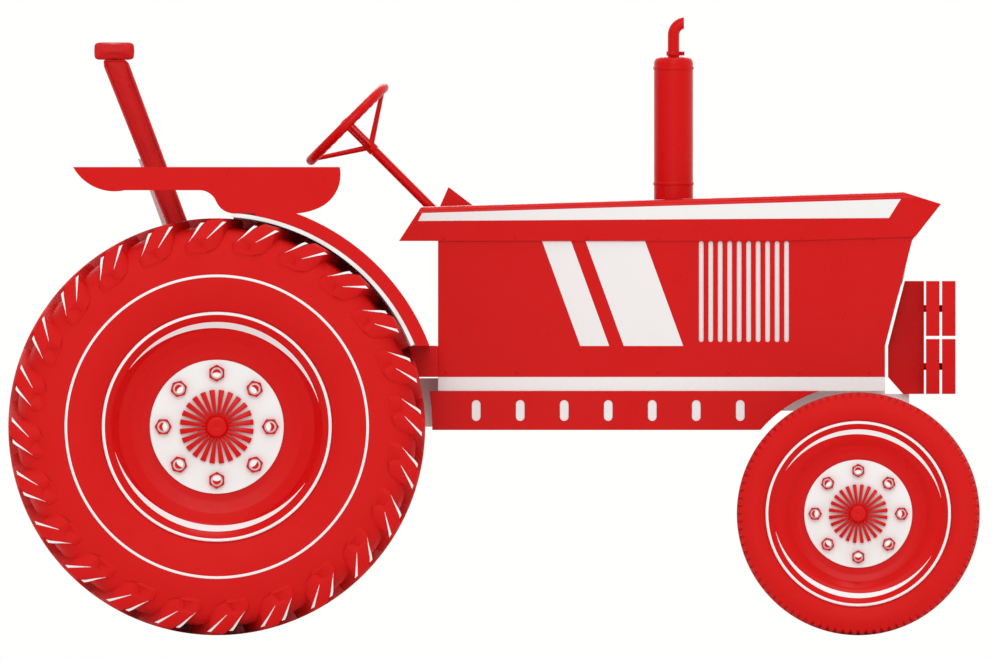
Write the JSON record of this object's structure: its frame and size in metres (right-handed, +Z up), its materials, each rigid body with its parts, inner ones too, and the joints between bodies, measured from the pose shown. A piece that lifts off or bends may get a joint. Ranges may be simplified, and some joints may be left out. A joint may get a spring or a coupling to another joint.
{
  "type": "farm tractor",
  "caption": "Two-wheel-drive row-crop farm tractor with steered front axle, flat-top fenders and three-point lift, in red and white enamel.",
  "frame": {"origin": "on the ground, at the middle of the bounding box", "axes": "+X to the front of the tractor, +Y to its left, +Z up"},
  "size_m": [3.886, 2.12, 2.4726],
  "materials": {
    "clear_glass": "clear lamp glass over a bright reflector",
    "dark_grille": "red enamel, dark behind",
    "red_enamel": "gloss red enamel",
    "red_tyre": "red rubber with moulded lugs",
    "red_vinyl": "red vinyl",
    "white_enamel": "gloss white enamel"
  },
  "bodies": {
    "chassis": {"controls": "red_enamel", "cowl": "red_enamel", "drawbar": "red_enamel", "engine_block": "white_enamel", "exhaust_pipe": "red_enamel", "fender_walls": "white_enamel", "fenders": "red_enamel", "front_bolster": "white_enamel", "front_grille": "dark_grille", "front_weights": "red_enamel", "grille_screens": "white_enamel", "headlamps": "clear_glass", "hood": "red_enamel", "link_brackets": "red_enamel", "muffler": "red_enamel", "platform": "red_enamel", "power_takeoff": "white_enamel", "rear_axle_housings": "white_enamel", "seat_back": "red_vinyl", "seat_cushion": "red_vinyl", "seat_frame": "white_enamel", "side_panels": "red_enamel", "side_rails": "red_enamel", "side_stripes": "white_enamel", "steering_column": "red_enamel", "top_link_bracket": "white_enamel", "transmission_housing": "white_enamel", "visor": "red_enamel", "weight_bracket": "red_enamel"},
    "steering_wheel": {"steering_wheel": "red_enamel"},
    "front_axle": {"front_axle": "white_enamel"},
    "centre_arm": {"centre_arm": "white_enamel"},
    "lift_arms": {"lift_arms": "red_enamel"},
    "rear_wheel_left": {"rear_tyre_left": "red_tyre", "rear_rim_left": "red_enamel", "rear_hub_left": "white_enamel"},
    "front_wheel_left": {"front_tyre_left": "red_tyre", "front_rim_left": "red_enamel", "front_hub_left": "white_enamel"},
    "knuckle_left": {"knuckle_left": "white_enamel"},
    "tie_rod_left": {"tie_rod_left": "white_enamel"},
    "lower_link_left": {"lower_link_left": "red_enamel"},
    "lift_rod_left": {"lift_rod_left": "red_enamel"},
    "rear_wheel_right": {"rear_tyre_right": "red_tyre", "rear_rim_right": "red_enamel", "rear_hub_right": "white_enamel"},
    "front_wheel_right": {"front_tyre_right": "red_tyre", "front_rim_right": "red_enamel", "front_hub_right": "white_enamel"},
    "knuckle_right": {"knuckle_right": "white_enamel"},
    "tie_rod_right": {"tie_rod_right": "white_enamel"},
    "lower_link_right": {"lower_link_right": "red_enamel"},
    "lift_rod_right": {"lift_rod_right": "red_enamel"}
  },
  "joints": [
    {"name": "rear_wheel_left_spin", "type": "hinge", "parent": "chassis", "child": "rear_wheel_left", "pos_m": [-1.109, 0.83, 0.834], "axis": [0, 1, 0], "continuous": true},
    {"name": "rear_wheel_right_spin", "type": "hinge", "parent": "chassis", "child": "rear_wheel_right", "pos_m": [-1.109, -0.83, 0.834], "axis": [0, 1, 0], "continuous": true},
    {"name": "axle_pivot", "type": "hinge", "parent": "chassis", "child": "front_axle", "pos_m": [1.457, 0, 0.7], "axis": [1, 0, 0], "range_deg": [-8, 8]},
    {"name": "steer_right", "type": "hinge", "parent": "front_axle", "child": "knuckle_right", "pos_m": [1.457, -0.64, 0.486], "axis": [0, 0, 1], "range_deg": [-45, 45]},
    {"name": "steer_left", "type": "hinge", "parent": "front_axle", "child": "knuckle_left", "pos_m": [1.457, 0.64, 0.486], "axis": [0, 0, 1], "range_deg": [-45, 45]},
    {"name": "steer_centre", "type": "hinge", "parent": "front_axle", "child": "centre_arm", "pos_m": [1.457, 0, 0.808], "axis": [0, 0, 1], "range_deg": [-45, 45]},
    {"name": "front_wheel_left_spin", "type": "hinge", "parent": "knuckle_left", "child": "front_wheel_left", "pos_m": [1.457, 0.79, 0.486], "axis": [0, 1, 0], "continuous": true},
    {"name": "tie_rod_left_pin", "type": "hinge", "parent": "knuckle_left", "child": "tie_rod_left", "pos_m": [1.327, 0.64, 0.808], "axis": [0, 0, 1], "range_deg": [-45, 45]},
    {"name": "front_wheel_right_spin", "type": "hinge", "parent": "knuckle_right", "child": "front_wheel_right", "pos_m": [1.457, -0.79, 0.486], "axis": [0, 1, 0], "continuous": true},
    {"name": "tie_rod_right_pin", "type": "hinge", "parent": "knuckle_right", "child": "tie_rod_right", "pos_m": [1.327, -0.64, 0.808], "axis": [0, 0, 1], "range_deg": [-45, 45]},
    {"name": "steering_wheel_turn", "type": "hinge", "parent": "chassis", "child": "steering_wheel", "pos_m": [-0.49903, 0, 1.95803], "axis": [-0.7071, 0, 0.7071], "range_deg": [-540, 540]},
    {"name": "lift_arms_turn", "type": "hinge", "parent": "chassis", "child": "lift_arms", "pos_m": [-1.04, 0, 1.06], "axis": [0, 1, 0], "range_deg": [-25, 20]},
    {"name": "lower_link_left_turn", "type": "hinge", "parent": "chassis", "child": "lower_link_left", "pos_m": [-1.04, 0.25, 0.56], "axis": [0, 1, 0], "range_deg": [-25, 20]},
    {"name": "lift_rod_left_pin", "type": "hinge", "parent": "lift_arms", "child": "lift_rod_left", "pos_m": [-1.44, 0.357, 1.06], "axis": [0, 1, 0], "range_deg": [-20, 25]},
    {"name": "lower_link_right_turn", "type": "hinge", "parent": "chassis", "child": "lower_link_right", "pos_m": [-1.04, -0.25, 0.56], "axis": [0, 1, 0], "range_deg": [-25, 20]},
    {"name": "lift_rod_right_pin", "type": "hinge", "parent": "lift_arms", "child": "lift_rod_right", "pos_m": [-1.44, -0.357, 1.06], "axis": [0, 1, 0], "range_deg": [-20, 25]}
  ],
  "couplings": [
    {"joint": "steer_left", "follows": "steer_right", "ratio": 1},
    {"joint": "steer_centre", "follows": "steer_right", "ratio": 1},
    {"joint": "tie_rod_right_pin", "follows": "steer_right", "ratio": -1},
    {"joint": "tie_rod_left_pin", "follows": "steer_right", "ratio": -1},
    {"joint": "steering_wheel_turn", "follows": "steer_right", "ratio": 12},
    {"joint": "lower_link_left_turn", "follows": "lift_arms_turn", "ratio": 1},
    {"joint": "lower_link_right_turn", "follows": "lift_arms_turn", "ratio": 1},
    {"joint": "lift_rod_left_pin", "follows": "lift_arms_turn", "ratio": -1},
    {"joint": "lift_rod_right_pin", "follows": "lift_arms_turn", "ratio": -1}
  ]
}
